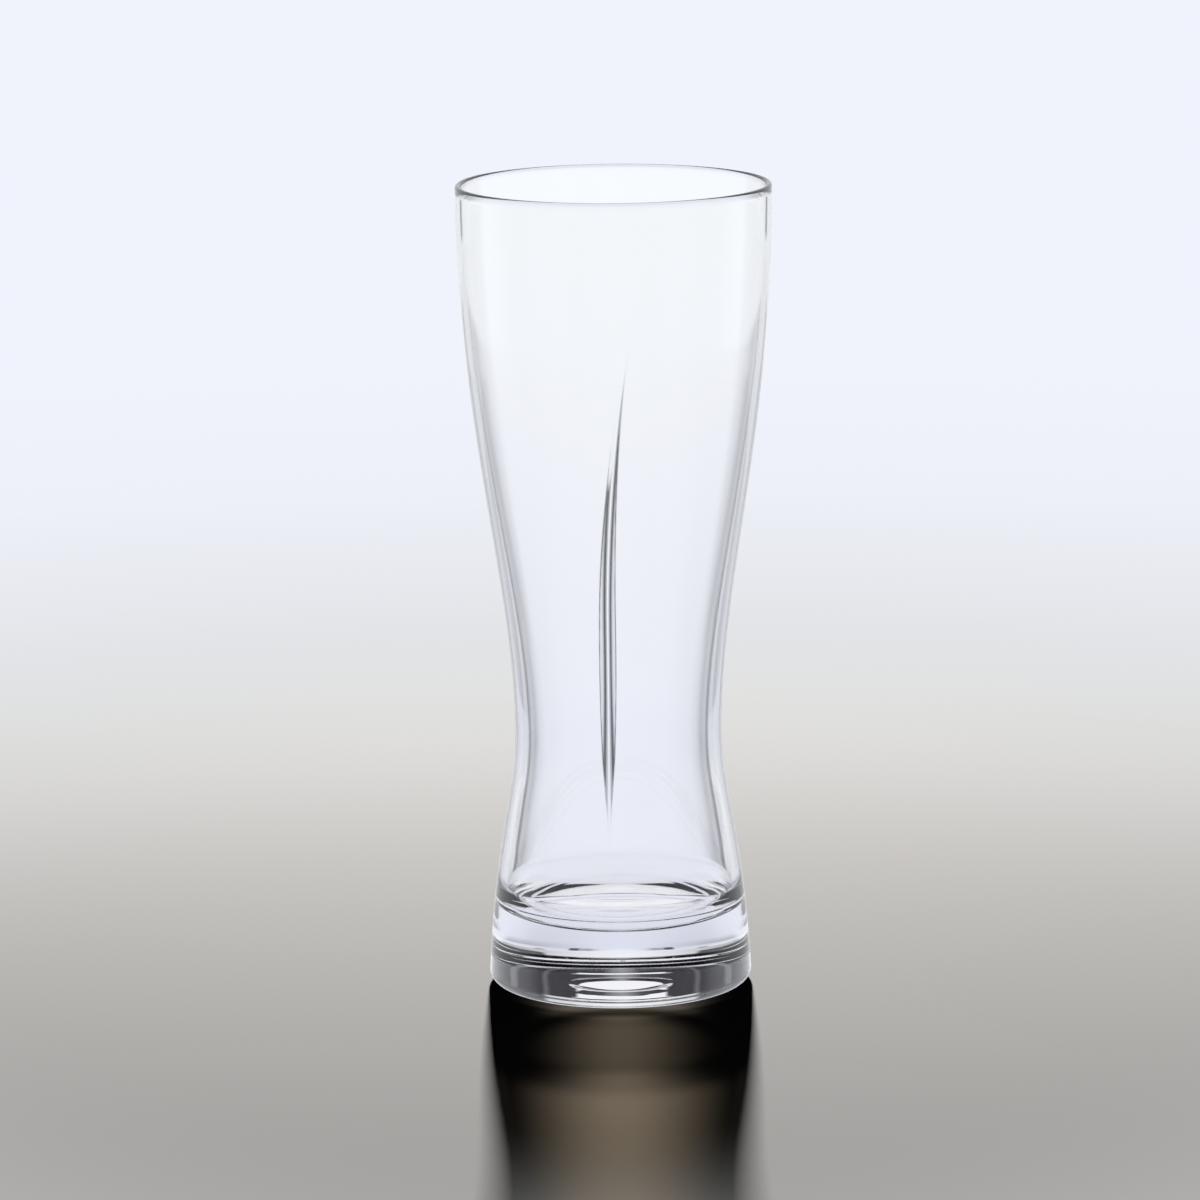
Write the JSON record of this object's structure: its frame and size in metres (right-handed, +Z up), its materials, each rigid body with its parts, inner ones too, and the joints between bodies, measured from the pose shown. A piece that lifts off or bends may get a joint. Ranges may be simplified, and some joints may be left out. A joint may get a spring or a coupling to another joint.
{
  "type": "pilsner glass",
  "caption": "Tall waisted beer glass with a thin flared bowl, a heavy solid base and a long curved flute cut in the front wall.",
  "frame": {"origin": "on the table, under the middle of the base", "axes": "+Z up along the axis of the glass, towards the rim; the cut flute is on the -Y side"},
  "size_m": [0.0698, 0.0698, 0.18],
  "materials": {
    "clear_glass": "clear soda-lime glass, fire-polished outside and in the cup, lightly rippled under the base"
  },
  "bodies": {
    "root": {"bowl": "clear_glass", "base": "clear_glass"}
  },
  "joints": []
}
